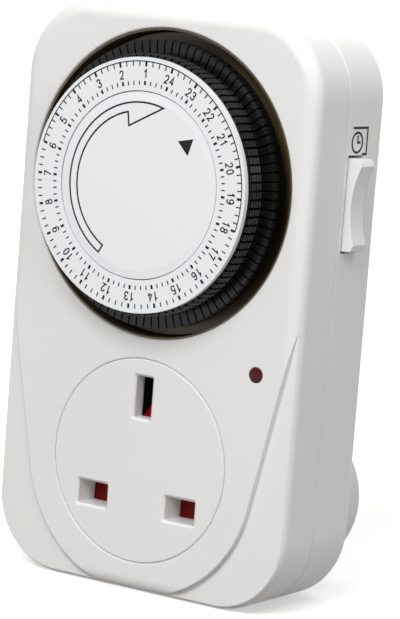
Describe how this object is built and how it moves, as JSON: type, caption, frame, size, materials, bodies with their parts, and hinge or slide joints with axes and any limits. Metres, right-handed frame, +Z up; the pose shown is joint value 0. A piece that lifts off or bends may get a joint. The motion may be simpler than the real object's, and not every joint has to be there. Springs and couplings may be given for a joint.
{
  "type": "plug in timer switch",
  "caption": "White plug-in timer switch: a day dial ringed by black push tappets above a socket face, with a plug and its pins behind and a rocker on one side.",
  "frame": {"origin": "on the plug's rear face, midway between the live and neutral pins", "axes": "+X to the right seen from the front, +Y into the wall along the pins, +Z up"},
  "size_m": [0.0762, 0.0735, 0.1225],
  "materials": {
    "white_plastic": "satin moulded white",
    "dial_white": "smooth white with black print",
    "black_plastic": "fine moulded black",
    "carrier_brown": "dark brown moulded plastic",
    "shutter_red": "smooth dark red",
    "neon_red": "clear dark red",
    "lamp_glass": "clear glass",
    "brass": "drawn brass",
    "sleeve_black": "matt sleeve",
    "steel": "bright zinc plate",
    "motor_steel": "pressed steel can",
    "magnet": "bonded ferrite",
    "coil": "enamelled copper winding",
    "tray_grey": "grey moulding",
    "plate_ivory": "ivory moulding",
    "gear_natural": "natural acetal",
    "switch_black": "moulded black",
    "button_red": "moulded red",
    "resistor_tan": "lacquered body with tinned wires",
    "lead_blue": "insulated wire",
    "lead_brown": "insulated wire"
  },
  "bodies": {
    "case": {"front_shell": "white_plastic", "rear_shell": "white_plastic", "socket_face": "white_plastic", "live_pin": "brass", "neutral_pin": "brass", "earth_pin": "brass", "live_pin_sleeve": "sleeve_black", "neutral_pin_sleeve": "sleeve_black", "live_contact": "brass", "neutral_contact": "brass", "earth_contact": "brass", "contact_carrier": "tray_grey", "shutter_spring": "steel", "neon_lens": "neon_red", "neon_lamp": "lamp_glass", "neon_resistor": "resistor_tan", "neon_lead": "lead_blue", "live_feed_bar": "brass", "switched_live_bar": "brass", "motor_lead_live": "lead_brown", "motor_lead_neutral": "lead_blue", "mechanism_plate": "plate_ivory", "well_liner": "carrier_brown", "centre_disc": "dial_white", "train_axle": "steel", "motor_can": "motor_steel", "motor_coil": "coil", "follower_pin": "steel", "timer_switch": "switch_black", "bypass_switch": "switch_black", "rocker_pin": "steel", "case_screws": "steel", "plate_screws": "steel"},
    "dial": {"dial_carrier": "carrier_brown", "dial_scale": "dial_white", "dial_gear": "gear_natural"},
    "train": {"train_gear": "gear_natural"},
    "rotor": {"motor_rotor": "magnet"},
    "follower": {"follower": "gear_natural"},
    "timer_plunger": {"timer_plunger": "button_red"},
    "bypass_plunger": {"bypass_plunger": "button_red"},
    "rocker": {"rocker": "white_plastic"},
    "shutter": {"shutter": "shutter_red"},
    "tappets_01": {"tappets_01": "black_plastic"},
    "tappets_02": {"tappets_02": "black_plastic"},
    "tappets_03": {"tappets_03": "black_plastic"},
    "tappets_04": {"tappets_04": "black_plastic"},
    "tappets_05": {"tappets_05": "black_plastic"},
    "tappets_06": {"tappets_06": "black_plastic"},
    "tappets_07": {"tappets_07": "black_plastic"},
    "tappets_08": {"tappets_08": "black_plastic"},
    "tappets_09": {"tappets_09": "black_plastic"},
    "tappets_10": {"tappets_10": "black_plastic"},
    "tappets_11": {"tappets_11": "black_plastic"},
    "tappets_12": {"tappets_12": "black_plastic"}
  },
  "joints": [
    {"name": "dial_turn", "type": "hinge", "parent": "case", "child": "dial", "pos_m": [0, -0.05005, 0.067], "axis": [0, 1, 0], "continuous": true},
    {"name": "train_turn", "type": "hinge", "parent": "case", "child": "train", "pos_m": [0.0135, -0.033, 0.04362], "axis": [0, 1, 0], "continuous": true},
    {"name": "rotor_turn", "type": "hinge", "parent": "case", "child": "rotor", "pos_m": [0.0075, -0.025, 0.05401], "axis": [0, 1, 0], "continuous": true},
    {"name": "rocker_tilt", "type": "hinge", "parent": "case", "child": "rocker", "pos_m": [0.033, -0.0262, 0.0665], "axis": [0, -1, 0], "range_deg": [0, 6]},
    {"name": "bypass_press", "type": "slide", "parent": "case", "child": "bypass_plunger", "axis": [-1, 0, 0], "range_m": [0, 0.00074]},
    {"name": "follower_tilt", "type": "hinge", "parent": "case", "child": "follower", "pos_m": [0.0263, -0.03295, 0.053], "axis": [-1, 0, 0], "range_deg": [0, 3.2], "stiffness_Nm_per_rad": 0.01, "springref_deg": -5.73},
    {"name": "timer_press", "type": "slide", "parent": "case", "child": "timer_plunger", "axis": [0, 1, 0], "range_m": [0, 0.00054]},
    {"name": "shutter_drop", "type": "slide", "parent": "case", "child": "shutter", "axis": [0, 0, -1], "range_m": [0, 0.0062], "stiffness_N_per_m": 100, "springref_m": -0.004, "deforming": ["shutter_spring"]},
    {"name": "tappets_push_01", "type": "slide", "parent": "dial", "child": "tappets_01", "axis": [0, 1, 0], "range_m": [0, 0.0025]},
    {"name": "tappets_push_02", "type": "slide", "parent": "dial", "child": "tappets_02", "axis": [0, 1, 0], "range_m": [0, 0.0025]},
    {"name": "tappets_push_03", "type": "slide", "parent": "dial", "child": "tappets_03", "axis": [0, 1, 0], "range_m": [0, 0.0025]},
    {"name": "tappets_push_04", "type": "slide", "parent": "dial", "child": "tappets_04", "axis": [0, 1, 0], "range_m": [0, 0.0025]},
    {"name": "tappets_push_05", "type": "slide", "parent": "dial", "child": "tappets_05", "axis": [0, 1, 0], "range_m": [0, 0.0025]},
    {"name": "tappets_push_06", "type": "slide", "parent": "dial", "child": "tappets_06", "axis": [0, 1, 0], "range_m": [0, 0.0025]},
    {"name": "tappets_push_07", "type": "slide", "parent": "dial", "child": "tappets_07", "axis": [0, 1, 0], "range_m": [0, 0.0025]},
    {"name": "tappets_push_08", "type": "slide", "parent": "dial", "child": "tappets_08", "axis": [0, 1, 0], "range_m": [0, 0.0025]},
    {"name": "tappets_push_09", "type": "slide", "parent": "dial", "child": "tappets_09", "axis": [0, 1, 0], "range_m": [0, 0.0025]},
    {"name": "tappets_push_10", "type": "slide", "parent": "dial", "child": "tappets_10", "axis": [0, 1, 0], "range_m": [0, 0.0025]},
    {"name": "tappets_push_11", "type": "slide", "parent": "dial", "child": "tappets_11", "axis": [0, 1, 0], "range_m": [0, 0.0025]},
    {"name": "tappets_push_12", "type": "slide", "parent": "dial", "child": "tappets_12", "axis": [0, 1, 0], "range_m": [0, 0.0025]}
  ],
  "couplings": [
    {"joint": "train_turn", "follows": "dial_turn", "ratio": -8},
    {"joint": "rotor_turn", "follows": "dial_turn", "ratio": 40},
    {"joint": "bypass_press", "follows": "rocker_tilt", "m_per_rad": 0.007},
    {"joint": "timer_press", "follows": "follower_tilt", "m_per_rad": 0.0095}
  ]
}
